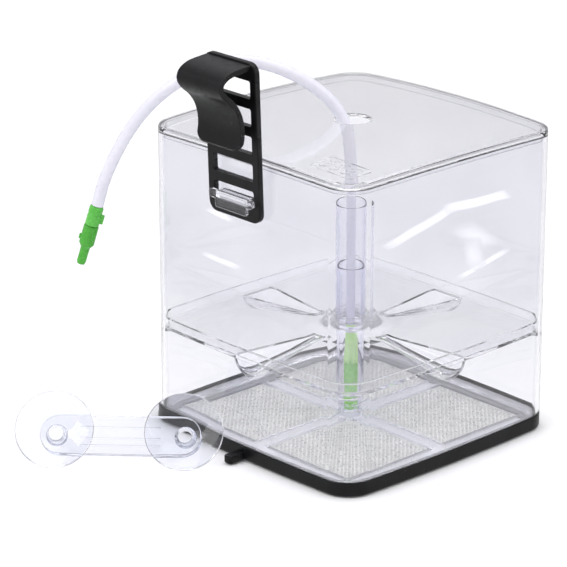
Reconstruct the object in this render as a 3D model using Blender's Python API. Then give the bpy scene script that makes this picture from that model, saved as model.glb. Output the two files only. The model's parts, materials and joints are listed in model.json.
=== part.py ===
"""In-tank fish hatching box with an air-lift riser, a ladder hanger, an air line and a suction bracket.

Frame: metres, +Z up, origin on the floor plane under the centre of the hub foot, walls square to X and Y.
The hanger is on the -Y wall.
"""
import math

import bmesh
import bpy
from mathutils import Matrix, Vector

MM = 0.001

# Driving dimensions, in millimetres and degrees.
GAP = 0.3                      # clearance between neighbouring pieces
BOX_HALF = 72.5                # half width of the box at the middle of a wall
CORNER_RADIUS = 14.0
WALL_BULGE = 2.0               # how far the middle of a wall stands out past its ends
CORNER_STEPS = 5
SIDE_STEPS = 6
ROUND_STEPS = 28

RING_HEIGHT = 7.6
RING_WALL = 3.1
RING_LEDGE_HALF = 64.0
RING_LEDGE_TOP = 3.0
TAB_X = -2.0
TAB_WIDTH = 5.5
TAB_REACH = 9.0
TAB_ROOT = 3.0                 # how far the tab runs into the ring
TAB_CORNER = 1.6
TAB_BOTTOM = 0.4
TAB_THICKNESS = 4.0

FRAME_HALF = 69.0
FRAME_FLAT_HALF = 65.0
FRAME_BOTTOM = RING_LEDGE_TOP + GAP
FRAME_TOP = 5.2
FRAME_RIM_TOP = 7.3
WINDOW_NEAR = 4.0              # window edges, distance from the centre lines
WINDOW_FAR = 59.5
WINDOW_LEDGE = 1.0
BEAD_WIDTH = 1.4
BEAD_HEIGHT = 0.8
MESH_BOTTOM = 4.2
MESH_THICKNESS = 0.6
BEAD_CORNER = 3.0
WINDOW_CORNER = 1.6
HUB_FOOT_RADIUS = 8.0
HUB_FOOT_TOP = 5.0
HUB_RING_BORE = 6.6
HUB_RING_RADIUS = 8.2
HUB_RING_TOP = 8.2

WALL = 1.8
SHELL_BOTTOM = RING_HEIGHT + GAP
SHELL_TOP = 151.4
DOME = 4.0                     # how far the middle of the lid stands above a flat one
LEDGE_TOP = 50.5
LEDGE_REACH = 3.6
LEDGE_HEIGHT = 1.6

LID_PLATE = 2.6
LID_HOLE_RADIUS = 9.0
LID_LIP_HALF = 70.2
LID_LIP_DEPTH = 3.0
LID_LIP_WALL = 1.2

TRAY_HALF = 70.2
TRAY_WALL = 1.4
TRAY_BOTTOM = LEDGE_TOP + GAP
TRAY_TOP = 57.2
TRAY_BORE = 9.4
TRAY_COLLAR_RADIUS = 12.0
TRAY_COLLAR_TOP = 59.4
TROUGH_START = 22.0
TROUGH_END = 67.4
TROUGH_SKIN = 1.2
SLOT_WIDTH = 2.0
SLOT_START = 29.0
SLOT_END = 61.0

CHIMNEY_RADIUS = 10.25
CHIMNEY_BORE = 9.3
CHIMNEY_BOTTOM = 56.3
CHIMNEY_TOP = 116.0

RISER_RADIUS = 9.0
RISER_BORE = 7.6
RISER_TOP = 84.0
RISER_BOTTOM = FRAME_TOP + GAP
FIN_REACH = 13.0
FIN_TOP = 40.0
FIN_THICKNESS = 1.4

NOZZLE_BOTTOM = 9.0
NOZZLE_SPLIT = 32.0
NOZZLE_TOP = 50.0

HOSE_RADIUS = 3.0
HOSE_SPACING = 12.0
# The hose lies in the vertical plane through the centre and the (-X, -Y) corner: (distance out, height).
HOSE_ROUTE = [
    (0.0, 50.3), (0.0, 65.0), (0.0, 80.0), (0.0, 95.0), (0.0, 110.0), (0.3, 125.0), (1.1, 139.0),
    (2.6, 151.0), (5.4, 159.4), (10.6, 167.0), (17.8, 173.5), (27.0, 179.3), (38.2, 184.1), (50.0, 186.6),
    (62.0, 186.4), (74.0, 182.4), (85.0, 175.6), (96.0, 166.6), (106.0, 154.8), (114.0, 141.5),
    (120.8, 126.5), (124.8, 112.8),
]
CONNECTOR_SPLIT = 10.6
CONNECTOR_SHOULDER = 21.5
CONNECTOR_LENGTH = 31.5

HANGER_X = -1.0
LADDER_WIDTH = 35.6
LADDER_BOTTOM = 125.5
LADDER_TOP = 204.0
LADDER_THICKNESS = 3.0
LADDER_CORNER = 5.0
LADDER_BACK_Y = -73.7          # back face at the height of the lug, wall outside at -72.5
LADDER_LEAN = 2.2
RUNG_PITCH = 13.5
WINDOW_WIDTH = 27.8
LOWEST_WINDOW_BOTTOM = 132.6
WINDOW_HEIGHT = 8.7
WINDOW_COUNT = 5
LUG_Z = 135.0
LUG_WIDTH = 22.0
LUG_PLATE = 1.7                # thickness of the ears and the tongue
EARS_WIDTH = 30.6
HOOK_WIDTH = 30.0
HOOK_THICKNESS = 2.6
LIP_CORNER = 5.0               # radius of the two corners at the lip's free end
# Middle line of the hook strip, from the ladder's top over the roll to the springy lip: (y, z).
HOOK_ROUTE = [
    (-77.6, 201.9), (-84.0, 201.7), (-91.5, 201.0), (-96.2, 198.6), (-97.2, 195.0), (-94.8, 191.2),
    (-90.6, 187.5), (-87.0, 182.6), (-85.0, 177.4), (-84.3, 172.2), (-84.8, 167.4), (-86.4, 163.0),
]

CUP_RADIUS = 19.4
CUP_TILT = 36.7                # cup axis above the horizontal
CUP_SPACING = 63.0
CUP_HEADING = 44.1             # direction of the bar, from +X towards +Y
CUP_CONTACT = (-10.7, -102.5)  # floor point under the rim of the right cup
BAR_LENGTH = 79.0
BAR_HEIGHT = 19.4
BAR_FRONT = -9.0
BAR_BACK = -13.5
RIM_ROUND = 0.5                # the rim's lowest point lies this far behind its front plane
BAR_EYE = 4.3
NECK_RADIUS = 3.8

CLEAR = (0.93, 0.93, 0.97)
BLACK = (0.015, 0.015, 0.017)
STEEL = (0.55, 0.55, 0.53)
GREEN = (0.05, 0.45, 0.03)
LIGHT_GREEN = (0.35, 0.75, 0.12)
MILKY = (0.86, 0.86, 0.88)


def clear_scene():
    for item in list(bpy.data.objects):
        bpy.data.objects.remove(item, do_unlink=True)


def material(name, colour, roughness, metallic=0.0, transmission=0.0):
    result = bpy.data.materials.new(name)
    result.use_nodes = True
    shader = result.node_tree.nodes["Principled BSDF"]
    shader.inputs["Base Color"].default_value = (*colour, 1.0)
    shader.inputs["Roughness"].default_value = roughness
    shader.inputs["Metallic"].default_value = metallic
    shader.inputs["Transmission Weight"].default_value = transmission
    return result


def add_object(name, points, faces, finish=None):
    """A mesh object from points in millimetres, with its faces turned outwards."""
    mesh = bpy.data.meshes.new(name)
    mesh.from_pydata([[c * MM for c in point] for point in points], [], faces)
    tool = bmesh.new()
    tool.from_mesh(mesh)
    bmesh.ops.recalc_face_normals(tool, faces=tool.faces)
    tool.to_mesh(mesh)
    tool.free()
    result = bpy.data.objects.new(name, mesh)
    bpy.context.scene.collection.objects.link(result)
    if finish:
        mesh.materials.append(finish)
    return result


def shade(item, angle=35.0):
    item.data.shade_smooth()
    item.data.set_sharp_from_angle(angle=math.radians(angle))
    return item


def combine(target, tool, operation):
    """Apply an exact Boolean to the target and remove the tool."""
    change = target.modifiers.new(operation.title(), "BOOLEAN")
    change.operation = operation
    change.object = tool
    change.solver = "EXACT"
    graph = bpy.context.evaluated_depsgraph_get()
    graph.update()
    result = bpy.data.meshes.new_from_object(target.evaluated_get(graph))
    target.modifiers.clear()
    target.data = result
    bpy.data.objects.remove(tool, do_unlink=True)
    return target


def union(target, tool):
    return combine(target, tool, "UNION")


def cut(target, tool):
    return combine(target, tool, "DIFFERENCE")


def outline(half, radius=None):
    """Rounded square with gently convex sides, counter-clockwise from the (+X, -Y) corner."""
    inset = BOX_HALF - half
    radius = max(CORNER_RADIUS - inset, 2.0) if radius is None else radius
    points = []
    for corner in range(4):
        start = math.radians(-90 + 90 * corner)
        sign_x = (1, 1, -1, -1)[corner]
        sign_y = (-1, 1, 1, -1)[corner]
        centre_x = sign_x * (half - radius)
        centre_y = sign_y * (half - radius)
        for step in range(CORNER_STEPS + 1):
            angle = start + math.radians(90) * step / CORNER_STEPS
            points.append((centre_x + radius * math.cos(angle), centre_y + radius * math.sin(angle)))
        last_x, last_y = points[-1]
        reach = 2 * (half - radius)
        for step in range(1, SIDE_STEPS):
            along = reach * step / SIDE_STEPS
            side_x = (0, -1, 0, 1)[corner]
            side_y = (1, 0, -1, 0)[corner]
            points.append((last_x + side_x * along, last_y + side_y * along))
    pull = WALL_BULGE / half
    return [(x * (1 - pull * (y / half) ** 2), y * (1 - pull * (x / half) ** 2)) for x, y in points]


def circle_like(points, radius):
    """The circle of a radius whose points lie at the same angles as those of an outline."""
    return [(radius * x / math.hypot(x, y), radius * y / math.hypot(x, y)) for x, y in points]


def dome(x, y):
    return DOME * (1 - (x * x + y * y) / (2 * BOX_HALF * BOX_HALF))


def at_height(points, z, domed=False):
    return [(x, y, z + (dome(x, y) if domed else 0.0)) for x, y in points]


def ring_loft(name, rings, finish=None, closed=True):
    """Skin over rings of equally many points: a closed loop of rings, or capped at both ends."""
    count = len(rings[0])
    points = [point for ring in rings for point in ring]
    faces = []
    spans = len(rings) if closed else len(rings) - 1
    for ring in range(spans):
        here = ring * count
        there = ((ring + 1) % len(rings)) * count
        for step in range(count):
            after = (step + 1) % count
            faces.append((here + step, here + after, there + after, there + step))
    if not closed:
        faces.append(tuple(range(count)))
        faces.append(tuple(range(len(points) - count, len(points))))
    return add_object(name, points, faces, finish)


def turned(name, profile, finish=None, steps=ROUND_STEPS, closed=True):
    """Turn a profile of (radius, z) about Z; an open profile is capped flat at both ends."""
    rings = []
    for radius, z in profile:
        angles = [2 * math.pi * step / steps for step in range(steps)]
        rings.append([(radius * math.cos(a), radius * math.sin(a), z) for a in angles])
    return ring_loft(name, rings, finish, closed)


def block(name, low, high, finish=None):
    xs, ys, zs = zip(low, high)
    points = [(x, y, z) for z in zs for y in ys for x in xs]
    faces = [(0, 1, 3, 2), (4, 6, 7, 5), (0, 4, 5, 1), (2, 3, 7, 6), (0, 2, 6, 4), (1, 5, 7, 3)]
    return add_object(name, points, faces, finish)


def prism(name, polygon, low, high, finish=None):
    """A polygon of (x, y) points raised from one height to another."""
    rings = [[(x, y, z) for x, y in polygon] for z in (low, high)]
    return ring_loft(name, rings, finish, closed=False)


def rounded_rectangle(width, height, radius, steps=4):
    """Corner points of a rounded rectangle about the origin, counter-clockwise."""
    points = []
    for corner in range(4):
        sign_x = (1, -1, -1, 1)[corner]
        sign_y = (1, 1, -1, -1)[corner]
        for step in range(steps + 1):
            angle = math.radians(90 * corner + 90 * step / steps)
            x = sign_x * (width / 2 - radius) + radius * math.cos(angle)
            y = sign_y * (height / 2 - radius) + radius * math.sin(angle)
            points.append((x, y))
    return points


def smooth_curve(route, spacing):
    """Evenly spaced points on the Catmull-Rom curve through a route of vectors."""
    padded = [2 * route[0] - route[1], *route, 2 * route[-1] - route[-2]]
    fine = []
    for before, start, end, after in zip(padded, padded[1:], padded[2:], padded[3:]):
        for step in range(24):
            t = step / 24
            bend = (2 * before - 5 * start + 4 * end - after) * t * t
            twist = (3 * start - before - 3 * end + after) * t * t * t
            fine.append(0.5 * (2 * start + (end - before) * t + bend + twist))
    fine.append(route[-1].copy())
    lengths = [0.0]
    for first, second in zip(fine, fine[1:]):
        lengths.append(lengths[-1] + (second - first).length)
    pieces = max(2, round(lengths[-1] / spacing))
    result = []
    index = 0
    for piece in range(pieces + 1):
        wanted = lengths[-1] * piece / pieces
        while index < len(fine) - 2 and lengths[index + 1] < wanted:
            index += 1
        share = (wanted - lengths[index]) / (lengths[index + 1] - lengths[index])
        result.append(fine[index].lerp(fine[index + 1], min(max(share, 0.0), 1.0)))
    return result


def make_base_ring(finish):
    profile = [(RING_LEDGE_HALF, 0.0), (BOX_HALF - 1.2, 0.0), (BOX_HALF, 1.3), (BOX_HALF, RING_HEIGHT - 0.3),
               (BOX_HALF - 0.4, RING_HEIGHT), (BOX_HALF - RING_WALL, RING_HEIGHT),
               (BOX_HALF - RING_WALL, RING_LEDGE_TOP), (RING_LEDGE_HALF, RING_LEDGE_TOP)]
    ring = ring_loft("base_ring", [at_height(outline(half), z) for half, z in profile], finish)
    tab_outline = rounded_rectangle(TAB_WIDTH, TAB_REACH + TAB_ROOT, TAB_CORNER, 3)
    tab_y = -BOX_HALF - (TAB_REACH - TAB_ROOT) / 2
    placed = [(TAB_X + x, tab_y + y) for x, y in tab_outline]
    tab = prism("tab", placed, TAB_BOTTOM, TAB_BOTTOM + TAB_THICKNESS)
    return shade(union(ring, tab))


def window_centres():
    middle = (WINDOW_FAR + WINDOW_NEAR) / 2
    return {"front_left": (-middle, -middle), "front_right": (middle, -middle),
            "back_right": (middle, middle), "back_left": (-middle, middle)}


def make_mesh_frame(finish):
    """Flat bars, raised beads round four windows, a bevelled flange, and a hub with a foot and a socket."""
    rings = [at_height(outline(FRAME_HALF), FRAME_BOTTOM), at_height(outline(FRAME_HALF), FRAME_RIM_TOP),
             at_height(outline(FRAME_HALF - 0.8), FRAME_RIM_TOP), at_height(outline(FRAME_FLAT_HALF), FRAME_TOP)]
    frame = ring_loft("mesh_frame", rings, finish, closed=False)
    size = WINDOW_FAR - WINDOW_NEAR
    wide = size + 2 * BEAD_WIDTH
    narrow = size - 2 * WINDOW_LEDGE
    steps = ((wide, BEAD_CORNER, FRAME_TOP - 0.5, FRAME_TOP + BEAD_HEIGHT, union),
             (size, WINDOW_CORNER, MESH_BOTTOM - GAP, FRAME_TOP + 3.0, cut),
             (narrow, WINDOW_CORNER, FRAME_BOTTOM - 1.0, FRAME_TOP, cut))
    for centre_x, centre_y in window_centres().values():
        for width, corner, low, high, change in steps:
            shape = rounded_rectangle(width, width, corner, 3)
            placed = [(centre_x + x, centre_y + y) for x, y in shape]
            change(frame, prism("window", placed, low, high))
    bore = [(HUB_RING_BORE, FRAME_TOP), (HUB_RING_BORE, HUB_RING_TOP)]
    cut(frame, turned("bore", bore, closed=False))
    union(frame, turned("foot", [(HUB_FOOT_RADIUS, 0.0), (HUB_FOOT_RADIUS, HUB_FOOT_TOP)], closed=False))
    socket = [(HUB_RING_BORE, FRAME_TOP - 0.6), (HUB_RING_RADIUS, FRAME_TOP - 0.6),
              (HUB_RING_RADIUS, HUB_RING_TOP), (HUB_RING_BORE, HUB_RING_TOP)]
    union(frame, turned("socket", socket))
    return shade(frame)


def make_mesh_panels(finish):
    """Plain plates in place of the woven wire, each cut away round the hub."""
    size = WINDOW_FAR - WINDOW_NEAR - 2 * GAP
    shape = rounded_rectangle(size, size, WINDOW_CORNER - GAP, 2)
    hub_radius = HUB_RING_RADIUS + GAP
    hub = [(hub_radius, MESH_BOTTOM - 1.0), (hub_radius, MESH_BOTTOM + MESH_THICKNESS + 1.0)]
    for name, (centre_x, centre_y) in window_centres().items():
        placed = [(centre_x + x, centre_y + y) for x, y in shape]
        panel = prism(f"mesh_panel_{name}", placed, MESH_BOTTOM, MESH_BOTTOM + MESH_THICKNESS, finish)
        cut(panel, turned("hub", hub, closed=False))


def make_tank_shell(finish):
    outside = outline(BOX_HALF)
    inside = outline(BOX_HALF - WALL)
    rings = [at_height(inside, SHELL_BOTTOM), at_height(outside, SHELL_BOTTOM),
             at_height(outside, SHELL_TOP, True), at_height(inside, SHELL_TOP, True)]
    shell = ring_loft("tank_shell", rings, finish)
    corner = max(x + y for x, y in inside) / math.sqrt(2)
    low = (corner - LEDGE_REACH, -4.0, LEDGE_TOP - LEDGE_HEIGHT)
    for quarter in range(4):
        ledge = block("ledge", low, (corner + 1.0, 4.0, LEDGE_TOP))
        ledge.data.transform(Matrix.Rotation(math.radians(45 + 90 * quarter), 4, "Z"))
        union(shell, ledge)
    # Lug: a neck through the lowest window, cross ears and a tongue in front of the ladder.
    half = LUG_WIDTH / 2
    union(shell, block("neck", (HANGER_X - half, -78.5, LUG_Z - 1.6), (HANGER_X + half, -71.6, LUG_Z + 1.6)))
    for shape, centre_z, back in ((rounded_rectangle(EARS_WIDTH, 4.4, 1.8, 3), LUG_Z, -77.3),
                                  (rounded_rectangle(LUG_WIDTH, 7.8, 1.2, 3), LUG_Z - 2.4, -77.4)):
        plate = [[(HANGER_X + x, y, centre_z + z) for x, z in shape] for y in (back, back - LUG_PLATE)]
        union(shell, ring_loft("plate", plate, closed=False))
    return shade(shell)


def make_lid(finish):
    edge = outline(BOX_HALF)
    top = SHELL_TOP + GAP + LID_PLATE
    under = SHELL_TOP + GAP
    lip = outline(LID_LIP_HALF)
    lip_inside = outline(LID_LIP_HALF - LID_LIP_WALL)
    hole = circle_like(edge, LID_HOLE_RADIUS)
    rings = [at_height(hole, top, True)]
    for share in (0.25, 0.5, 0.75):
        mixed = [(hx + (x - hx) * share, hy + (y - hy) * share) for (hx, hy), (x, y) in zip(hole, edge)]
        rings.append(at_height(mixed, top, True))
    rings.append(at_height(outline(BOX_HALF - 0.5), top, True))
    rings.append(at_height(edge, top - 0.5, True))
    rings.append(at_height(edge, under, True))
    rings.append(at_height(lip, under, True))
    rings.append(at_height(lip, under - LID_LIP_DEPTH, True))
    rings.append(at_height(lip_inside, under - LID_LIP_DEPTH, True))
    ceiling = top - 1.9
    rings.append(at_height(lip_inside, ceiling, True))
    for share in (0.7, 0.45, 0.2):
        mixed = [(hx + (x - hx) * share, hy + (y - hy) * share) for (hx, hy), (x, y) in zip(hole, edge)]
        rings.append(at_height(mixed, ceiling, True))
    rings.append(at_height(hole, ceiling, True))
    return shade(ring_loft("lid", rings, finish))


def trough_section(distance, half_width, depth, top):
    """Half ellipse below the tray floor, closed by a flat top, across the +X arm."""
    points = []
    for step in range(9):
        angle = math.pi + math.pi * step / 8
        points.append((distance, half_width * math.cos(angle), TRAY_BOTTOM + 0.9 + depth * math.sin(angle)))
    points.append((distance, half_width, top))
    points.append((distance, -half_width, top))
    return points


def trough_shape(name, start, end, skin, top):
    """A trough solid that widens and deepens from near the centre to the wall."""
    rings = []
    for share in (0.0, 0.35, 0.7, 0.93, 1.0):
        distance = start + (end - start) * share
        taper = 0.86 if share == 1.0 else 1.0
        rings.append(trough_section(distance, (2.6 + 7.2 * share + skin) * taper,
                                    (0.8 + 8.0 * share + skin) * taper, top))
    return ring_loft(name, rings, closed=False)


def make_tray(finish):
    rim = outline(TRAY_HALF)
    inner = outline(TRAY_HALF - TRAY_WALL)

    def circle(radius, z):
        return at_height(circle_like(rim, radius), z)

    floor = TRAY_BOTTOM + 1.4
    rings = [circle(TRAY_BORE, 53.4), circle(TRAY_BORE, 56.0), circle(CHIMNEY_RADIUS + GAP, 56.0),
             circle(CHIMNEY_RADIUS + GAP, TRAY_COLLAR_TOP), circle(TRAY_COLLAR_RADIUS, TRAY_COLLAR_TOP),
             circle(TRAY_COLLAR_RADIUS, 58.0), circle(13.4, 56.2), circle(16.0, 54.6), circle(20.0, 53.2),
             circle(27.0, floor), at_height(inner, floor), at_height(inner, TRAY_TOP),
             at_height(rim, TRAY_TOP), at_height(rim, TRAY_BOTTOM), circle(27.0, TRAY_BOTTOM),
             circle(19.0, 51.8), circle(13.0, 53.4)]
    tray = ring_loft("hopper_tray", rings, finish)
    steps = ((union, TROUGH_START - 1.0, TROUGH_END + TROUGH_SKIN, TROUGH_SKIN, floor - 0.5),
             (cut, TROUGH_START, TROUGH_END, 0.0, floor + 4.0))
    for change, start, end, skin, top in steps:
        for quarter in range(4):
            shape = trough_shape("trough", start, end, skin, top)
            shape.data.transform(Matrix.Rotation(math.radians(90 * quarter), 4, "Z"))
            change(tray, shape)
    for quarter in range(4):
        slot = block("slot", (SLOT_START, -SLOT_WIDTH / 2, 38.0), (SLOT_END, SLOT_WIDTH / 2, 53.0))
        slot.data.transform(Matrix.Rotation(math.radians(90 * quarter), 4, "Z"))
        cut(tray, slot)
    return shade(tray)


def make_chimney(finish):
    profile = [(CHIMNEY_BORE, CHIMNEY_BOTTOM), (CHIMNEY_RADIUS, CHIMNEY_BOTTOM),
               (CHIMNEY_RADIUS, CHIMNEY_TOP - 0.4), (CHIMNEY_RADIUS - 0.3, CHIMNEY_TOP), (CHIMNEY_BORE, CHIMNEY_TOP)]
    return shade(turned("chimney_tube", profile, finish))


def make_riser(finish):
    profile = [(5.2, RISER_BOTTOM), (6.2, RISER_BOTTOM), (6.2, 8.8), (7.4, 10.2), (8.5, 12.8), (RISER_RADIUS, 16.5),
               (RISER_RADIUS, RISER_TOP), (RISER_BORE, RISER_TOP), (RISER_BORE, 16.9), (7.1, 13.6), (6.2, 11.3),
               (5.2, 9.8)]
    riser = turned("riser_pipe", profile, finish)
    for quarter in range(4):
        turn = Matrix.Rotation(math.radians(45 + 90 * quarter), 4, "Z")
        side = [(RISER_RADIUS - 1.0, 17.0), (FIN_REACH, 11.0), (FIN_REACH, 34.0), (RISER_RADIUS - 0.2, FIN_TOP),
                (RISER_RADIUS - 1.0, FIN_TOP)]
        half = FIN_THICKNESS / 2
        fin = ring_loft("fin", [[(x, y, z) for x, z in side] for y in (-half, half)], closed=False)
        fin.data.transform(turn)
        union(riser, fin)
        notch = block("notch", (3.0, -1.4, RISER_BOTTOM - 1.0), (8.0, 1.4, RISER_BOTTOM + 1.9))
        notch.data.transform(turn)
        cut(riser, notch)
    return shade(riser)


def make_nozzle(body_finish, cap_finish):
    body = [(1.5, NOZZLE_BOTTOM), (3.6, NOZZLE_BOTTOM), (4.3, NOZZLE_BOTTOM + 1.2), (4.3, NOZZLE_SPLIT - 0.4),
            (4.1, NOZZLE_SPLIT), (1.5, NOZZLE_SPLIT)]
    shade(turned("nozzle_body", body, body_finish, 20))
    low = NOZZLE_SPLIT + GAP
    cap = [(1.5, low), (4.4, low), (4.7, low + 0.6), (4.7, low + 2.0), (4.2, low + 2.8), (3.9, low + 8.0),
           (3.4, NOZZLE_TOP - 3.0), (3.2, NOZZLE_TOP), (1.5, NOZZLE_TOP)]
    shade(turned("nozzle_cap", cap, cap_finish, 20))


def hose_point(out, z):
    return Vector((-out * math.sqrt(0.5), -out * math.sqrt(0.5), z))


def make_hose(finish):
    line = smooth_curve([hose_point(out, z) for out, z in HOSE_ROUTE], HOSE_SPACING)
    curve = bpy.data.curves.new("air_line", "CURVE")
    curve.dimensions = "3D"
    curve.bevel_depth = HOSE_RADIUS * MM
    curve.bevel_resolution = 3
    curve.use_fill_caps = True
    spline = curve.splines.new("POLY")
    spline.points.add(len(line) - 1)
    for target, point in zip(spline.points, line):
        target.co = (*(point * MM), 1.0)
    curve.materials.append(finish)
    hose = bpy.data.objects.new("air_line", curve)
    bpy.context.scene.collection.objects.link(hose)


def make_connector(collar_finish, body_finish):
    """Two-piece air fitting on the free end of the hose, in line with it."""
    end = hose_point(*HOSE_ROUTE[-1])
    axis = (end - hose_point(*HOSE_ROUTE[-2])).normalized()
    across = hose_point(1.0, 0.0).normalized()
    side = (across - axis * across.dot(axis)).normalized()
    third = axis.cross(side)
    place = Matrix.Translation(end * MM) @ Matrix((side, third, axis)).transposed().to_4x4()
    collar = [(1.4, GAP), (3.1, GAP), (3.4, 1.0), (3.5, CONNECTOR_SPLIT - 0.6), (3.3, CONNECTOR_SPLIT),
              (1.4, CONNECTOR_SPLIT)]
    piece = turned("connector_collar", collar, collar_finish, 20)
    union(piece, block("ear", (-5.0, -1.0, 4.2), (-2.6, 1.0, 8.8)))
    shade(piece)
    piece.matrix_world = place
    start = CONNECTOR_SPLIT + GAP
    body = [(1.4, start), (3.5, start), (3.8, start + 0.5), (3.8, CONNECTOR_SHOULDER - 1.0),
            (3.2, CONNECTOR_SHOULDER), (2.3, CONNECTOR_SHOULDER + 1.0), (2.2, CONNECTOR_LENGTH - 1.0),
            (1.9, CONNECTOR_LENGTH), (1.4, CONNECTOR_LENGTH)]
    piece = turned("connector_body", body, body_finish, 20)
    union(piece, block("ear", (2.8, -0.9, 16.4), (4.6, 0.9, 18.8)))
    shade(piece)
    piece.matrix_world = place


def shortened(line, trim):
    """The same number of points on an evenly spaced line that ends a given length sooner."""
    spans = len(line) - 1
    length = sum((second - first).length for first, second in zip(line, line[1:]))
    result = []
    for index in range(spans + 1):
        place = index * (1 - trim / length)
        whole = min(int(place), spans - 1)
        result.append(line[whole].lerp(line[whole + 1], place - whole))
    return result


def hook_section(line, x):
    """Outline of the hook strip at one x, as thick as the hook, along a line of (y, z) vectors."""
    outer = []
    inner = []
    for index, point in enumerate(line):
        along = (line[min(index + 1, len(line) - 1)] - line[max(index - 1, 0)]).normalized()
        normal = Vector((0.0, -along.z, along.y)) * HOOK_THICKNESS / 2
        outer.append(point + normal)
        inner.append(point - normal)
    return [(x, point.y, point.z) for point in outer + inner[::-1]]


def make_hook():
    lean = math.tan(math.radians(LADDER_LEAN))
    route = [Vector((0.0, y + (z - LUG_Z) * lean, z)) for y, z in HOOK_ROUTE]
    line = smooth_curve(route, 3.0)
    half = HOOK_WIDTH / 2
    rings = []
    for share in (-1.0, -0.7, 0.0, 0.7, 1.0):
        x = math.copysign(half - LIP_CORNER * (1 - abs(share)), share) if share else 0.0
        trim = LIP_CORNER * (1 - math.sqrt(1 - share * share))
        rings.append(hook_section(shortened(line, trim), HANGER_X + x))
    return ring_loft("hook", rings, closed=False)


def make_hanger(finish):
    """Ladder and spring hook in one moulding, leaning out about the lug."""
    middle = (LADDER_TOP + LADDER_BOTTOM) / 2
    shape = rounded_rectangle(LADDER_WIDTH, LADDER_TOP - LADDER_BOTTOM, LADDER_CORNER)
    front = LADDER_BACK_Y - LADDER_THICKNESS
    sections = ((LADDER_BACK_Y, 0.99), (LADDER_BACK_Y - 0.4, 1.0), (front + 0.4, 1.0), (front, 0.99))
    rings = [[(HANGER_X + x * scale, y, middle + z * scale) for x, z in shape] for y, scale in sections]
    ladder = ring_loft("hanger", rings, finish, closed=False)
    opening = rounded_rectangle(WINDOW_WIDTH, WINDOW_HEIGHT, 0.8, 2)
    for index in range(WINDOW_COUNT):
        centre = LOWEST_WINDOW_BOTTOM + WINDOW_HEIGHT / 2 + RUNG_PITCH * index
        rings = [[(HANGER_X + x, y, centre + z) for x, z in opening] for y in (-70.0, -80.0)]
        cut(ladder, ring_loft("window", rings, closed=False))
    union(ladder, make_hook())
    shade(ladder)
    pivot = Vector((0.0, LADDER_BACK_Y, LUG_Z)) * MM
    ladder.data.transform(Matrix.Translation(-pivot))
    ladder.location = pivot
    ladder.rotation_euler = (math.radians(LADDER_LEAN), 0.0, 0.0)


def bracket_placement(along):
    """World placement at a cup rim's centre, with Z along the cup's axis and X along the bar."""
    heading = math.radians(CUP_HEADING)
    tilt = math.radians(CUP_TILT)
    bar = Vector((math.cos(heading), math.sin(heading), 0.0))
    level = Vector((math.sin(heading), -math.cos(heading), 0.0))
    axis = level * math.cos(tilt) + Vector((0.0, 0.0, math.sin(tilt)))
    up = axis.cross(bar)
    rise = up if up.z > 0 else -up
    contact = Vector((*CUP_CONTACT, 0.0)) - bar * along
    centre = contact + rise * CUP_RADIUS + axis * RIM_ROUND
    return Matrix.Translation(centre * MM) @ Matrix((bar, axis.cross(bar), axis)).transposed().to_4x4()


def make_bracket(finish):
    half = BAR_LENGTH / 2
    shape = rounded_rectangle(BAR_LENGTH, BAR_HEIGHT, BAR_HEIGHT / 2 - 0.01, 7)
    sections = ((BAR_BACK, 0.985), (BAR_BACK + 0.5, 1.0), (BAR_FRONT - 0.5, 1.0), (BAR_FRONT, 0.985))
    rings = [[(x * scale, y * scale, z) for x, y in shape] for z, scale in sections]
    bar = ring_loft("suction_bracket", rings, finish, closed=False)
    for side in (-1, 1):
        eye = turned("eye", [(BAR_EYE, BAR_BACK - 1.0), (BAR_EYE, BAR_FRONT + 1.0)], steps=20, closed=False)
        eye.data.transform(Matrix.Translation((side * CUP_SPACING / 2 * MM, 0.0, 0.0)))
        cut(bar, eye)
    for level in (-5.6, -2.0, 3.4):
        low = (-half / 2, level - 0.5, BAR_FRONT - 0.5)
        groove = block("groove", low, (half / 2, level + 0.5, BAR_FRONT + 1.0))
        cut(bar, groove)
    shade(bar)
    bar.matrix_world = bracket_placement(CUP_SPACING / 2)


def make_cup(name, along, finish):
    profile = [(0.4, -5.2), (6.0, -4.9), (12.0, -3.6), (16.5, -1.6), (CUP_RADIUS - 0.5, 0.0),
               (CUP_RADIUS, -RIM_ROUND), (17.6, -2.2), (13.2, -4.9), (8.0, -6.9), (NECK_RADIUS, -8.0), (NECK_RADIUS, -13.6),
               (5.2, -14.0), (5.2, -15.2), (3.6, -16.4), (0.4, -16.5)]
    cup = turned(name, profile, finish, closed=False)
    shade(cup)
    cup.matrix_world = bracket_placement(along)


def main():
    clear_scene()
    clear = material("clear_plastic", CLEAR, 0.06, transmission=1.0)
    black = material("black_plastic", BLACK, 0.4)
    steel = material("woven_steel", STEEL, 0.35, metallic=1.0)
    green = material("green_plastic", GREEN, 0.3)
    light_green = material("light_green_plastic", LIGHT_GREEN, 0.3)
    milky = material("milky_hose", MILKY, 0.3, transmission=0.4)
    soft_clear = material("soft_clear_vinyl", CLEAR, 0.1, transmission=1.0)
    make_base_ring(black)
    make_mesh_frame(clear)
    make_mesh_panels(steel)
    make_tank_shell(clear)
    make_lid(clear)
    make_tray(clear)
    make_chimney(clear)
    make_riser(clear)
    make_nozzle(green, light_green)
    make_hose(milky)
    make_connector(light_green, green)
    make_hanger(black)
    make_bracket(clear)
    make_cup("suction_cup_right", 0.0, soft_clear)
    make_cup("suction_cup_left", CUP_SPACING, soft_clear)


main()
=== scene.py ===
"""Looks for an in-tank fish hatching box: clear walls, lid and tray, woven floor, air line and suction bracket.

Sizes are millimetres in the row frame, +Z up, with the hanger on the -Y wall; add_piece turns them into metres.
"""
import json
import math

import bmesh
import bpy
from mathutils import Matrix, Vector


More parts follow.
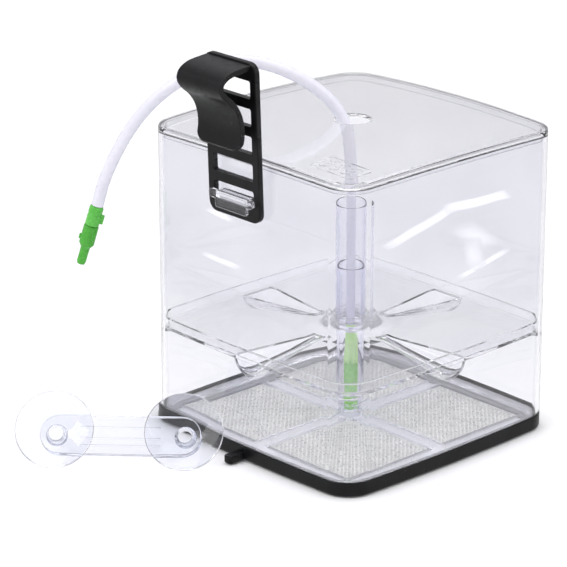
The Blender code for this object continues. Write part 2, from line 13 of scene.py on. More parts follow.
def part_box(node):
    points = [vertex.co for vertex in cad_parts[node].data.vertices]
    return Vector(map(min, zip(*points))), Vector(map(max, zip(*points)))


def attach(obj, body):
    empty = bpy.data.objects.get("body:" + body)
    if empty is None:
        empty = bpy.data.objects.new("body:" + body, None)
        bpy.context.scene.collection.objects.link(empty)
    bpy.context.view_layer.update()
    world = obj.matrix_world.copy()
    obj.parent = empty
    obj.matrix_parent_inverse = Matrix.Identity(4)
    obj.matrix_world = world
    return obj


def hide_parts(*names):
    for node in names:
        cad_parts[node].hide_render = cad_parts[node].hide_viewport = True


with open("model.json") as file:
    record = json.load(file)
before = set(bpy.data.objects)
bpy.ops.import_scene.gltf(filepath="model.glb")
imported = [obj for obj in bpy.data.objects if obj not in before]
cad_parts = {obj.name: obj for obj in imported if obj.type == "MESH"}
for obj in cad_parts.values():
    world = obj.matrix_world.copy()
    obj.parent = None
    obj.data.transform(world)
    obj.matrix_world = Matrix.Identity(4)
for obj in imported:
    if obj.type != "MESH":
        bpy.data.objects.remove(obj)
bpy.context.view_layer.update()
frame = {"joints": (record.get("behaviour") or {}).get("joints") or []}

MM = 0.001
UP = Vector((0.0, 0.0, 1.0))


def box_mm(node):
    """Lowest and highest corner of a CAD node, in millimetres."""
    low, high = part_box(node)
    return low / MM, high / MM


def joint(name):
    return next(item for item in frame["joints"] if item["name"] == name)


# Camera, in metres.
CAMERA_PLACE = (0.9902, -0.9675, 0.5743)
CAMERA_TARGET = (-0.0219, -0.0254, 0.0741)
CAMERA_LENS = 189.56
CAMERA_SENSOR = 36.0

# Studio, with lengths in metres.
FLOOR_REACH = 14.0
FLOOR_DROP = -0.0002
CARD_HEIGHT = 0.001
MIRRORED_FLOOR = 0.60          # brightness of the table as seen in gloss
MIRRORED_SKY = 0.64
TABLE_REACH = 2.0
SKY_STRENGTH = 0.86
# The sky from the horizon to the zenith: (height, colour).
SKY_RAMP = ((0.0, (1.0, 1.0, 1.02)), (0.3, (0.82, 0.82, 0.85)), (1.0, (0.86, 0.86, 0.88)))
SOFTBOX_TARGET = (0.0, 0.0, 0.08)
# Name, place and size in metres, and power in watts.
SOFTBOXES = (
    ("overhead_softbox", (-0.1, 0.2, 1.7), (1.8, 1.8), 15.0),
    ("front_softbox", (-0.5, -1.5, 1.2), (1.0, 0.8), 8.0),
    ("side_softbox", (1.6, 0.9, 0.9), (0.9, 1.2), 5.0),
)
# Cards on the table that the right and left walls mirror: name, start, end, width, strength and bluntness.
GLINTS = (
    ("glint_right_low", (0.336, 0.176), (0.347, 0.290), 0.013, 6.0, 4.0),
    ("glint_right_high", (0.350, 0.268), (0.322, 0.340), 0.018, 6.5, 4.0),
    ("glint_right_thin", (0.254, 0.190), (0.257, 0.262), 0.007, 5.0, 4.0),
    ("glint_right_patch", (0.322, 0.262), (0.268, 0.250), 0.036, 4.0),
    ("glint_right_point", (0.296, 0.252), (0.252, 0.212), 0.020, 3.5),
    ("glint_left", (-0.310, -0.303), (-0.272, -0.306), 0.009, 4.5, 3.0),
    ("glint_left_low", (-0.250, -0.249), (-0.204, -0.255), 0.008, 4.5, 3.0),
)

# Clear plastics.
LAMP_TINT = (0.975, 0.975, 0.985, 1.0)   # what a wall lets through of the lamps' light
# Painted light: the nearly clear colour of the lowest part of the tank's walls, where the bright floor lights
# them.
PAINTED_LIGHT_CLEAR = (0.985, 0.985, 0.995, 1.0)
EDGE_SPAN = (0.25, 0.85)       # how slanted a skin is where its edge tint starts and ends
LIGHT_BOUNCES = 28

# Driving sizes, in millimetres.
RING_LOW, RING_HIGH = box_mm("base_ring")
SHELL_LOW, SHELL_HIGH = box_mm("tank_shell")
TRAY_HIGH = box_mm("hopper_tray")[1]
RISER_LOW, RISER_HIGH = box_mm("riser_pipe")
CHIMNEY_LOW, CHIMNEY_HIGH = box_mm("chimney_tube")
FRAME_HIGH = box_mm("mesh_frame")[1]
BOX_HALF = RING_HIGH.x         # half width of the box at the middle of a wall
GAP = 0.3                      # clearance between neighbouring pieces
CORNER_RADIUS = 14.0
WALL_BULGE = 2.0
CORNER_STEPS = 14
SIDE_STEPS = 20
ROUND_STEPS = 64
FITTING_STEPS = 48

RING_WALL = 3.1
RING_LEDGE_HALF = 64.0
RING_LEDGE_TOP = 3.0
TAB_X = -2.0
TAB_WIDTH = 5.5
TAB_ROOT = 3.0
TAB_THICKNESS = 4.0

FRAME_HALF = 69.0
FRAME_FLAT_HALF = 65.0
FRAME_BOTTOM = RING_LEDGE_TOP + GAP
FRAME_TOP = 5.2
FRAME_RIM_TOP = 7.3
WINDOW_NEAR = 4.0              # window edges, distance from the centre lines
WINDOW_FAR = 59.5
WINDOW_LEDGE = 1.0
BEAD_WIDTH = 1.4
BEAD_HEIGHT = 0.8
HUB_FOOT_RADIUS = 8.0
HUB_FOOT_TOP = 5.0
HUB_RING_RADIUS = 8.2
HUB_RING_BORE = 6.6
WIRE_RADIUS = 0.2
WIRE_WAVE = 0.2                # how far a wire swings up and down through the weave
WIRE_COUNT = 40
WIRE_HEIGHT = 4.5
WIRE_SIDES = 6
WIRE_STEPS = 2                 # points from one crossing to the next

WALL = 1.8
SHELL_BOTTOM = SHELL_LOW.z
DOME = 4.0                     # how far the middle of the lid stands above a flat one
SHELL_TOP = SHELL_HIGH.z - DOME / 2
EDGE_ROUND = 0.35
LEDGE_SIZE = (4.6, 8.0)
LEDGE_THICKNESS = 1.6

LID_PLATE = 2.6
LID_THICKNESS = 1.9
LID_UNDER = SHELL_TOP + GAP
LID_TOP = LID_UNDER + LID_PLATE
LID_HOLE_RADIUS = 9.0
LID_LIP_HALF = 70.2
LID_LIP_DEPTH = 3.0
LID_LIP_WALL = 1.2
LID_EDGE_ROUND = 0.9
BADGE_CENTRE = (48.0, -54.3)
BADGE_SIZE = (27.0, 15.0)
BADGE_LINE = 0.8
BADGE_RAISE = 0.35
BADGE_SINK = 0.6
BADGE_MARGIN = 3.0
WAVE_STEPS = 36
WAVE_PITCH = 3.6
WAVE_SWING = 1.1
WAVE_LENGTH = 7.0

TRAY_HALF = 70.2
TRAY_WALL = 1.4
TRAY_BOTTOM = 50.8
TRAY_TOP = 57.2
TRAY_FLOOR = TRAY_BOTTOM + 1.4
TRAY_BORE = 9.4
TRAY_SEAT_RADIUS = 10.55
TRAY_COLLAR_RADIUS = 12.0
TRAY_SLOPE_END = 27.0          # radius where the collar's slope meets the floor
TROUGH_START = 22.0
TROUGH_END = 67.4
TROUGH_SKIN = 1.2
TROUGH_HALF = (2.6, 7.2)       # half width near the centre, and how much wider it gets
TROUGH_DEPTH = (0.8, 8.0)
TROUGH_STEPS = 20
SLOT_WIDTH = 2.0
SLOT_START = 29.0
SLOT_END = 61.0

CHIMNEY_RADIUS = 10.25
CHIMNEY_BORE = 9.3
RISER_RADIUS = 9.0
RISER_BORE = 7.6
FIN_REACH = 13.0
FIN_TOP = 40.0
FIN_THICKNESS = 1.4
NOZZLE_SPLIT = 32.0
NOZZLE_BORE = 1.5

HOSE_RADIUS = 3.0
HOSE_BORE = 2.0
HOSE_SPACING = 2.5
HOSE_SIDES = 28
# The hose lies in the vertical plane through the centre and the (-X, -Y) corner: (distance out, height).
HOSE_ROUTE = [
    (0.0, 50.3), (0.0, 65.0), (0.0, 80.0), (0.0, 95.0), (0.0, 110.0), (0.3, 125.0), (1.1, 139.0),
    (2.6, 151.0), (5.4, 159.4), (10.6, 167.0), (17.8, 173.5), (27.0, 179.3), (38.2, 184.1), (50.0, 186.6),
    (62.0, 186.4), (74.0, 182.4), (85.0, 175.6), (96.0, 166.6), (106.0, 154.8), (114.0, 141.5),
    (120.8, 126.5), (124.8, 112.8),
]
CONNECTOR_SPLIT = 10.6
CONNECTOR_SHOULDER = 21.5
CONNECTOR_LENGTH = 31.5
CONNECTOR_BORE = 1.4

HANGER_X = -1.0
LADDER_WIDTH = 35.6
LADDER_BOTTOM = 125.5
LADDER_TOP = 204.0
LADDER_THICKNESS = 3.0
LADDER_CORNER = 5.0
LADDER_BACK_Y = -73.7          # back face at the height of the lug
LADDER_LEAN = 2.2              # degrees
RUNG_PITCH = 13.5
WINDOW_WIDTH = 27.8
LOWEST_WINDOW_BOTTOM = 132.6
WINDOW_HEIGHT = 8.7
WINDOW_COUNT = 5
LUG_Z = 135.0
LUG_WIDTH = 22.0
EARS_WIDTH = 30.6
# Size, corner radius, middle height, front and back y of the neck through a window, ears before it, and tongue.
LUG_PARTS = (
    ((LUG_WIDTH, 3.2), 0.5, LUG_Z, -78.0, -71.6),
    ((EARS_WIDTH, 4.4), 1.8, LUG_Z, -79.0, -77.3),
    ((LUG_WIDTH, 7.8), 1.0, LUG_Z - 2.4, -79.1, -77.4),
)
HOOK_WIDTH = 30.0
HOOK_THICKNESS = 2.6
LIP_CORNER = 5.0               # radius of the two corners at the lip's free end
# Middle line of the hook strip, from the ladder's top over the roll to the springy lip: (y, z).
HOOK_ROUTE = [
    (-77.6, 201.9), (-84.0, 201.7), (-91.5, 201.0), (-96.2, 198.6), (-97.2, 195.0), (-94.8, 191.2),
    (-90.6, 187.5), (-87.0, 182.6), (-85.0, 177.4), (-84.3, 172.2), (-84.8, 167.4), (-86.4, 163.0),
]

CUP_RADIUS = 19.4
CUP_SPACING = 63.0
BAR_LENGTH = 79.0
BAR_HEIGHT = 19.4
BAR_FRONT = -9.0
BAR_BACK = -13.5
BAR_EYE = 4.3
NECK_RADIUS = 3.8


# ---- camera, floor and light

def add_object(name, data):
    item = bpy.data.objects.new(name, data)
    bpy.context.scene.collection.objects.link(item)
    return item


def aim_at(item, place, target):
    """Puts a camera or light somewhere and points it at a target."""
    item.location = place
    item.rotation_mode = "QUATERNION"
    item.rotation_quaternion = (Vector(target) - Vector(place)).to_track_quat("-Z", "Y")


def make_camera():
    camera = bpy.data.cameras.new("camera")
    camera.lens = CAMERA_LENS
    camera.sensor_width = CAMERA_SENSOR
    item = add_object("camera", camera)
    aim_at(item, CAMERA_PLACE, CAMERA_TARGET)
    bpy.context.scene.camera = item


def make_softbox(name, place, size, power):
    light = bpy.data.lights.new(name, "AREA")
    light.shape = "RECTANGLE"
    light.size, light.size_y = size
    light.energy = power
    aim_at(add_object(name, light), place, SOFTBOX_TARGET)


def add_node(tree, kind, inputs, **settings):
    """A new shader node with its settings, and its inputs joined to an output or set to a value."""
    node = tree.nodes.new("ShaderNode" + kind)
    for name, value in settings.items():
        setattr(node, name, value)
    for name, value in inputs.items():
        if isinstance(value, bpy.types.NodeSocket):
            tree.links.new(value, node.inputs[name])
        else:
            node.inputs[name].default_value = value
    return node


def calculate(tree, operation, first, second=0.0):
    return add_node(tree, "Math", {0: first, 1: second}, operation=operation).outputs[0]


def mix_shaders(tree, share, first, second, surface):
    """Sends a mix of two shaders to a surface input."""
    mix = add_node(tree, "MixShader", {0: share, 1: first, 2: second})
    tree.links.new(mix.outputs[0], surface)


def map_range(tree, value, low, high, source=(0.3, 0.7)):
    inputs = {"Value": value, "From Min": source[0], "From Max": source[1], "To Min": low, "To Max": high}
    return add_node(tree, "MapRange", inputs).outputs[0]


def object_axis(tree, axis):
    place = add_node(tree, "TexCoord", {})
    return add_node(tree, "SeparateXYZ", {0: place.outputs["Object"]}).outputs[axis]


def make_sheet(name, half_length, half_width, height, finish):
    """A flat rectangle of the studio, in metres."""
    mesh = bpy.data.meshes.new(name)
    corners = ((-1, -1), (1, -1), (1, 1), (-1, 1))
    mesh.from_pydata([(x * half_length, y * half_width, height) for x, y in corners], [], [(0, 1, 2, 3)])
    mesh.materials.append(finish)
    item = add_object(name, mesh)
    return item


def make_card(name, half_length, half_width, strength):
    """A glowing card flat over the table that only shows in reflections, with its object and material tree."""
    finish = bpy.data.materials.new(name)
    finish.use_nodes = True
    tree = finish.node_tree
    tree.nodes.clear()
    glow = add_node(tree, "Emission", {"Color": (1.0, 1.0, 1.0, 1.0), "Strength": strength}).outputs[0]
    add_node(tree, "OutputMaterial", {"Surface": glow})
    item = make_sheet(name, half_length, half_width, CARD_HEIGHT, finish)
    item.visible_camera = False
    item.visible_diffuse = False
    item.visible_transmission = False
    item.visible_shadow = False
    return item, tree


def make_glint(name, start, end, width, strength, blunt=2.0):
    """A soft-edged card from one point on the table to another; a higher blunt keeps more of it bright."""
    start = Vector(start)
    end = Vector(end)
    along = end - start
    item, tree = make_card(name, along.length / 2, width / 2, strength)
    item.location = (*((start + end) / 2), 0.0)
    item.rotation_euler = (0.0, 0.0, math.atan2(along.y, along.x))
    falls = []
    for axis, reach in (("X", along.length / 2), ("Y", width / 2)):
        ratio = calculate(tree, "DIVIDE", object_axis(tree, axis), reach)
        fall = calculate(tree, "POWER", calculate(tree, "ABSOLUTE", ratio), blunt)
        falls.append(map_range(tree, fall, 1.0, 0.0, (0.0, 1.0)))
    both = calculate(tree, "MULTIPLY", *falls)
    surface = next(node for node in tree.nodes if node.type == "OUTPUT_MATERIAL").inputs["Surface"]
    clear = add_node(tree, "BsdfTransparent", {}).outputs[0]
    mix_shaders(tree, both, clear, surface.links[0].from_socket, surface)


def make_sky():
    """Grey studio round the object: pale at the horizon, and darker where it is only mirrored."""
    world = bpy.data.worlds.new("studio")
    bpy.context.scene.world = world
    world.use_nodes = True
    tree = world.node_tree
    tree.nodes.clear()
    place = add_node(tree, "TexCoord", {})
    height = add_node(tree, "SeparateXYZ", {0: place.outputs["Generated"]}).outputs["Z"]
    ramp = add_node(tree, "ValToRGB", {0: height})
    for step, (position, colour) in zip(ramp.color_ramp.elements, (SKY_RAMP[0], SKY_RAMP[-1])):
        step.position = position
        step.color = (*colour, 1.0)
    for position, colour in SKY_RAMP[1:-1]:
        ramp.color_ramp.elements.new(position).color = (*colour, 1.0)
    sky = add_node(tree, "Background", {"Color": ramp.outputs[0], "Strength": SKY_STRENGTH})
    mirrored = add_node(tree, "Background", {"Color": ramp.outputs[0], "Strength": MIRRORED_SKY})
    glossy = add_node(tree, "LightPath", {}).outputs["Is Glossy Ray"]
    surface = add_node(tree, "OutputWorld", {}).inputs["Surface"]
    mix_shaders(tree, glossy, sky.outputs[0], mirrored.outputs[0], surface)


def make_floor():
    floor = make_sheet("floor", FLOOR_REACH, FLOOR_REACH, 0.0, floor_material())
    floor.location.z = FLOOR_DROP
    floor.visible_glossy = False


def make_studio():
    scene = bpy.context.scene
    scene.view_settings.view_transform = "Standard"
    scene.cycles.max_bounces = LIGHT_BOUNCES
    scene.cycles.transmission_bounces = LIGHT_BOUNCES
    scene.cycles.transparent_max_bounces = LIGHT_BOUNCES
    scene.cycles.glossy_bounces = LIGHT_BOUNCES
    make_sky()
    make_floor()
    # The object mirrors this in place of the bright floor.
    table = make_card("mirrored_table", TABLE_REACH, TABLE_REACH, MIRRORED_FLOOR)[0]
    table.location.z = FLOOR_DROP / 2 - CARD_HEIGHT
    for glint in GLINTS:
        make_glint(*glint)
    for softbox in SOFTBOXES:
        make_softbox(*softbox)


# ---- materials

def new_material(name):
    """A new material, its node tree and its Principled shader."""
    result = bpy.data.materials.new(name)
    result.use_nodes = True
    tree = result.node_tree
    return result, tree, tree.nodes["Principled BSDF"]


def add_noise(tree, scale, detail=2.0):
    place = add_node(tree, "TexCoord", {})
    inputs = {"Vector": place.outputs["Object"], "Scale": scale, "Detail": detail}
    return add_node(tree, "TexNoise", inputs).outputs["Fac"]


def mix_colours(tree, value, first, second):
    """One colour where the value is low, the other where it is high."""
    ramp = add_node(tree, "ValToRGB", {0: value})
    for step, position, colour in zip(ramp.color_ramp.elements, (0.35, 0.65), (first, second)):
        step.position = position
        step.color = (*colour, 1.0)
    return ramp.outputs[0]


def add_bump(tree, shader, value, strength, distance):
    bump = add_node(tree, "Bump", {"Strength": strength, "Distance": distance, "Height": value})
    tree.links.new(bump.outputs[0], shader.inputs["Normal"])


def let_lamps_through(tree, shader):
    """Shadow rays and bounced light pass a clear surface straight, a little dimmed."""
    path = add_node(tree, "LightPath", {}).outputs
    either = calculate(tree, "MAXIMUM", path["Is Shadow Ray"], path["Is Diffuse Ray"])
    clear = add_node(tree, "BsdfTransparent", {"Color": LAMP_TINT})
    surface = tree.nodes["Material Output"].inputs["Surface"]
    mix_shaders(tree, either, shader.outputs[0], clear.outputs[0], surface)


def blend_colours(tree, share, first, second):
    """Two colours, each an output or a constant, mixed by a share."""
    return add_node(tree, "Mix", {0: share, 6: first, 7: second}, data_type="RGBA").outputs[2]


def edge_tinted(tree, colour, edge):
    """The colour of a moulding, deeper where it is looked at along its skin."""
    facing = add_node(tree, "LayerWeight", {"Blend": 0.5}).outputs["Facing"]
    return blend_colours(tree, map_range(tree, facing, 0.0, 1.0, EDGE_SPAN), colour, (*edge, 1.0))


def painted_floor_light(tree, colour, painted_light_heights):
    """Painted light: the colour of a wall that is nearly clear below two heights in metres, where the bright
    floor lights it, and takes its tint above them.
    """
    share = map_range(tree, object_axis(tree, "Z"), 0.0, 1.0, painted_light_heights)
    return blend_colours(tree, share, PAINTED_LIGHT_CLEAR, colour)


def clear_material(name, first, second, ior, wave, rough=(0.0, 0.03), edge=None, painted_light_heights=None, clearness=1.0):
    """Clear moulded plastic: faint colour drift, slow waves from the mould, and a few smudges."""
    result, tree, shader = new_material(name)
    shader.inputs["Transmission Weight"].default_value = clearness
    shader.inputs["IOR"].default_value = ior
    colour = mix_colours(tree, add_noise(tree, 14.0), first, second)
    # Painted light: with heights given, the wall is left nearly clear low down, where the bright floor lights
    # it.
    if painted_light_heights:
        colour = painted_floor_light(tree, colour, painted_light_heights)
    if edge:
        colour = edge_tinted(tree, colour, edge)
    tree.links.new(colour, shader.inputs["Base Color"])
    smudge = add_noise(tree, 45.0, 4.0)
    tree.links.new(map_range(tree, smudge, *rough, (0.5, 0.8)), shader.inputs["Roughness"])
    add_bump(tree, shader, add_noise(tree, 26.0, 1.0), wave, 0.002)
    let_lamps_through(tree, shader)
    return result


def solid_material(name, shade, colours, gloss, roughness, grain, sockets, edge=None):
    """Drifting colour, uneven gloss and a grain; noise is (scale, detail), and grain adds (strength, depth)."""
    result, tree, shader = new_material(name)
    colour = mix_colours(tree, add_noise(tree, *shade), *colours)
    if edge:
        colour = edge_tinted(tree, colour, edge)
    tree.links.new(colour, shader.inputs["Base Color"])
    tree.links.new(map_range(tree, add_noise(tree, *gloss), *roughness), shader.inputs["Roughness"])
    for socket, value in sockets.items():
        shader.inputs[socket].default_value = value
    add_bump(tree, shader, add_noise(tree, *grain[:2]), *grain[2:])
    return result


def green_material(name, first, second, clearness):
    """Glossy coloured fitting."""
    return solid_material(name, (120.0, 3.0), (first, second), (500.0, 2.0), (0.18, 0.32),
                          (1800.0, 2.0, 0.12, 0.0001), {"Transmission Weight": clearness, "IOR": 1.5})


def black_material():
    """Satin black moulding with a fine spark-eroded grain."""
    return solid_material("black_plastic_finish", (90.0, 3.0), ((0.003, 0.003, 0.0035), (0.007, 0.007, 0.0085)),
                          (260.0, 3.0), (0.26, 0.40), (2200.0, 2.0, 0.3, 0.0001), {"Specular IOR Level": 0.28})


def steel_material():
    """Drawn stainless wire."""
    return solid_material("woven_steel_finish", (160.0, 3.0), ((0.79, 0.79, 0.775), (0.92, 0.92, 0.90)),
                          (900.0, 2.0), (0.22, 0.42), (5000.0, 1.0, 0.1, 0.00005), {"Metallic": 0.55})


def milky_material():
    """Milky silicone hose with faint cloudiness along it."""
    return solid_material("milky_hose_finish", (55.0, 3.0), ((0.79, 0.78, 0.865), (0.85, 0.84, 0.91)),
                          (320.0, 2.0), (0.22, 0.36), (160.0, 2.0, 0.03, 0.0001), {"IOR": 1.41},
                          edge=(0.70, 0.70, 0.80))


def floor_material():
    result, tree, shader = new_material("floor_finish")
    tone = mix_colours(tree, add_noise(tree, 1.2), (0.90, 0.90, 0.90), (0.92, 0.92, 0.92))
    tree.links.new(tone, shader.inputs["Base Color"])
    shader.inputs["Roughness"].default_value = 0.85
    shader.inputs["Specular IOR Level"].default_value = 0.1
    return result


# ---- shapes

def add_piece(name, points, faces):
    """A mesh object from points in millimetres, with its faces turned outwards."""
    mesh = bpy.data.meshes.new(name)
    mesh.from_pydata([[c * MM for c in point] for point in points], [], faces)
    tool = bmesh.new()
    tool.from_mesh(mesh)
    bmesh.ops.recalc_face_normals(tool, faces=tool.faces)
    tool.to_mesh(mesh)
    tool.free()
    return add_object(name, mesh)


def apply_modifiers(item):
    graph = bpy.context.evaluated_depsgraph_get()
    graph.update()
    result = bpy.data.meshes.new_from_object(item.evaluated_get(graph))
    item.modifiers.clear()
    item.data = result


def combine(target, tool, operation):
    change = target.modifiers.new(operation.title(), "BOOLEAN")
    change.operation = operation
    change.object = tool
    change.solver = "EXACT"
    apply_modifiers(target)
    bpy.data.objects.remove(tool, do_unlink=True)
    return target


def union(target, tool):
    return combine(target, tool, "UNION")


def cut(target, tool):
    return combine(target, tool, "DIFFERENCE")


def dress(item, body, nodes, finish, edge=0.0, angle=35.0):
    """Rounds sharp edges, shades, paints, and puts a piece in the frame in place of its CAD nodes."""
    if edge:
        bevel = item.modifiers.new("Bevel", "BEVEL")
        bevel.width = edge * MM
        bevel.segments = 2
        bevel.limit_method = "ANGLE"
        bevel.angle_limit = math.radians(40.0)
        bevel.use_clamp_overlap = True
        apply_modifiers(item)
    item.data.shade_smooth()
    item.data.set_sharp_from_angle(angle=math.radians(angle))
    weighted = item.modifiers.new("WeightedNormal", "WEIGHTED_NORMAL")
    weighted.keep_sharp = True
    apply_modifiers(item)
    item.data.materials.clear()
    item.data.materials.append(finish)
    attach(item, body)
    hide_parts(*nodes)
    return item


def rounded(corners, closed=True, steps=4):
    """Points of a polygon of (u, v, radius) corners with an arc in place of each corner that has a radius."""
    points = []
    count = len(corners)
    for index, (u, v, radius) in enumerate(corners):
        corner = Vector((u, v))
        if radius <= 0 or (not closed and index in (0, count - 1)):
            points.append((u, v))
            continue
        before = (Vector(corners[index - 1][:2]) - corner).normalized()
        after = (Vector(corners[(index + 1) % count][:2]) - corner).normalized()
        half = before.angle(after) / 2
        if half > math.radians(80.0):
            points.append((u, v))
            continue
        middle = corner + (before + after).normalized() * radius / math.sin(half)
        start = corner + before * radius / math.tan(half) - middle
        end = corner + after * radius / math.tan(half) - middle
        turn = start.angle_signed(end)
        for step in range(steps + 1):
            arm = start.copy()
            arm.rotate(Matrix.Rotation(-turn * step / steps, 2))
            points.append(tuple(middle + arm))
    return points


def outline(half, radius=None):
    """Rounded square with gently convex sides, counter-clockwise from the (+X, -Y) corner."""
    inset = BOX_HALF - half
    radius = max(CORNER_RADIUS - inset, 2.0) if radius is None else radius
    points = []
    for corner in range(4):
        start = math.radians(-90 + 90 * corner)
        centre_x = (1, 1, -1, -1)[corner] * (half - radius)
        centre_y = (-1, 1, 1, -1)[corner] * (half - radius)
        for step in range(CORNER_STEPS + 1):
            turn = start + math.radians(90) * step / CORNER_STEPS
            points.append((centre_x + radius * math.cos(turn), centre_y + radius * math.sin(turn)))
        last_x, last_y = points[-1]
        reach = 2 * (half - radius)
        side_x = (0, -1, 0, 1)[corner]
        side_y = (1, 0, -1, 0)[corner]
        for step in range(1, SIDE_STEPS):
            along = reach * step / SIDE_STEPS
            points.append((last_x + side_x * along, last_y + side_y * along))
    pull = WALL_BULGE / half
    return [(x * (1 - pull * (y / half) ** 2), y * (1 - pull * (x / half) ** 2)) for x, y in points]


def circle_like(points, radius):
    """The circle of a radius whose points lie at the same angles as those of an outline."""
    return [(radius * x / math.hypot(x, y), radius * y / math.hypot(x, y)) for x, y in points]


def blend_outlines(first, second, share):
    return [(a + (c - a) * share, b + (d - b) * share) for (a, b), (c, d) in zip(first, second)]


def dome(x, y):
    return DOME * (1 - (x * x + y * y) / (2 * BOX_HALF * BOX_HALF))


def at_height(points, z, domed=False):
    return [(x, y, z + (dome(x, y) if domed else 0.0)) for x, y in points]


def full_turn(steps):
    """Evenly spaced angles round a circle."""
    return [2 * math.pi * step / steps for step in range(steps)]


def add_skin(faces, start, rings, count, closed):
    """Adds the faces over rings of points numbered from a start: a closed loop, or capped at both ends."""
    for ring in range(rings if closed else rings - 1):
        here = start + ring * count
        there = start + ((ring + 1) % rings) * count
        for step in range(count):
            after = (step + 1) % count
            faces.append((here + step, here + after, there + after, there + step))
    if not closed:
        faces.append(tuple(range(start, start + count)))
        faces.append(tuple(range(start + (rings - 1) * count, start + rings * count)))


def ring_loft(name, rings, closed=True):
    """A piece skinned over rings of equally many points."""
    faces = []
    add_skin(faces, 0, len(rings), len(rings[0]), closed)
    return add_piece(name, [point for ring in rings for point in ring], faces)


def turned(name, profile, steps=ROUND_STEPS, closed=True):
    """Turn a profile of (radius, z) about Z; an open profile is capped flat at both ends."""
    rings = []
    for radius, z in profile:
        rings.append([(radius * math.cos(a), radius * math.sin(a), z) for a in full_turn(steps)])
    return ring_loft(name, rings, closed)


def rounded_rectangle(width, height, radius, steps=6):
    """Corner points of a rounded rectangle about the origin, counter-clockwise."""
    points = []
    for corner in range(4):
        sign_x = (1, -1, -1, 1)[corner]
        sign_y = (1, 1, -1, -1)[corner]
        for step in range(steps + 1):
            turn = math.radians(90 * corner + 90 * step / steps)
            points.append((sign_x * (width / 2 - radius) + radius * math.cos(turn),
                           sign_y * (height / 2 - radius) + radius * math.sin(turn)))
    return points


def cushion_block(name, size, corner, low, high, edge):
    """A rounded rectangle raised from one height to another, with rounded edges above and below."""
    rings = []
    side = [(edge, low, 0.0), (0.0, low, edge), (0.0, high, edge), (edge, high, 0.0)]
    for inset, z in rounded(side, closed=False):
        shape = rounded_rectangle(size[0] - 2 * inset, size[1] - 2 * inset, max(corner - inset, 0.05))
        rings.append([(x, y, z) for x, y in shape])
    return ring_loft(name, rings, closed=False)


def smooth_curve(route, spacing):
    """Evenly spaced points on the Catmull-Rom curve through a route of vectors."""
    padded = [2 * route[0] - route[1], *route, 2 * route[-1] - route[-2]]
    fine = []
    for before, start, end, after in zip(padded, padded[1:], padded[2:], padded[3:]):
        for step in range(24):
            t = step / 24
            bend = (2 * before - 5 * start + 4 * end - after) * t * t
            twist = (3 * start - before - 3 * end + after) * t * t * t
            fine.append(0.5 * (2 * start + (end - before) * t + bend + twist))
    fine.append(route[-1].copy())
    lengths = [0.0]
    for first, second in zip(fine, fine[1:]):
        lengths.append(lengths[-1] + (second - first).length)
    pieces = max(2, round(lengths[-1] / spacing))
    result = []
    index = 0
    for piece in range(pieces + 1):
        wanted = lengths[-1] * piece / pieces
        while index < len(fine) - 2 and lengths[index + 1] < wanted:
            index += 1
        share = (wanted - lengths[index]) / (lengths[index + 1] - lengths[index])
        result.append(fine[index].lerp(fine[index + 1], min(max(share, 0.0), 1.0)))
    return result


def run_of(line, index):
    """The way a line of vectors runs at one of its points."""
    return (line[min(index + 1, len(line) - 1)] - line[max(index - 1, 0)]).normalized()


def shift(x, y, z):
    return Matrix.Translation((x, y, z))


def quarter_turns(start=0.0):
    """Turns about the box's middle line, one for each side, from a start in degrees."""
    return [Matrix.Rotation(math.radians(start + 90 * quarter), 4, "Z") for quarter in range(4)]


def move(item, matrix):
    """Moves a piece's mesh by a matrix whose translation is in millimetres."""
    matrix = matrix.copy()
    matrix.translation *= MM
    item.data.transform(matrix)
    return item


# ---- air line

def hose_point(out, z):
    return Vector((-out * math.sqrt(0.5), -out * math.sqrt(0.5), z))


def make_hose(finish):
    """Milky hose with its bore, open at both ends."""
    line = smooth_curve([hose_point(out, z) for out, z in HOSE_ROUTE], HOSE_SPACING)
    side = Vector((math.sqrt(0.5), -math.sqrt(0.5), 0.0))
    outer = []
    inner = []
    for index, point in enumerate(line):
        along = run_of(line, index)
        over = along.cross(side)
        for rings, radius in ((outer, HOSE_RADIUS), (inner, HOSE_BORE)):
            turns = full_turn(HOSE_SIDES)
            rings.append([point + (side * math.cos(a) + over * math.sin(a)) * radius for a in turns])
    hose = ring_loft("milky_air_line", outer + inner[::-1])
    dress(hose, "lid", ["air_line"], finish, angle=50.0)
    return hose, [point * MM for point in line]


def make_nozzle(body_finish, cap_finish):
    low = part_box("nozzle_body")[0].z / MM
    corners = [(NOZZLE_BORE, low, 0.0), (3.6, low, 0.3), (4.3, low + 1.2, 0.5)]
    for rib in range(5):
        z = low + 6.0 + 3.2 * rib
        corners += [(4.3, z, 0.1), (4.0, z + 0.4, 0.1), (4.0, z + 0.9, 0.1), (4.3, z + 1.3, 0.1)]
    corners += [(4.3, NOZZLE_SPLIT, 0.3), (NOZZLE_BORE, NOZZLE_SPLIT, 0.0)]
    body = turned("green_nozzle_body", rounded(corners, steps=3), FITTING_STEPS)
    dress(body, "lid", ["nozzle_body"], body_finish)
    low = NOZZLE_SPLIT + GAP
    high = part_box("nozzle_cap")[1].z / MM
    corners = [(NOZZLE_BORE, low, 0.0), (4.6, low, 0.3), (4.7, low + 2.0, 0.5), (4.25, low + 2.9, 0.4),
               (3.8, low + 8.0, 4.0), (3.25, high - 3.0, 2.0), (3.1, high, 0.3), (NOZZLE_BORE, high, 0.2)]
    cap = turned("green_nozzle_cap", rounded(corners, steps=4), FITTING_STEPS)
    dress(cap, "lid", ["nozzle_cap"], cap_finish)
    return [body, cap]


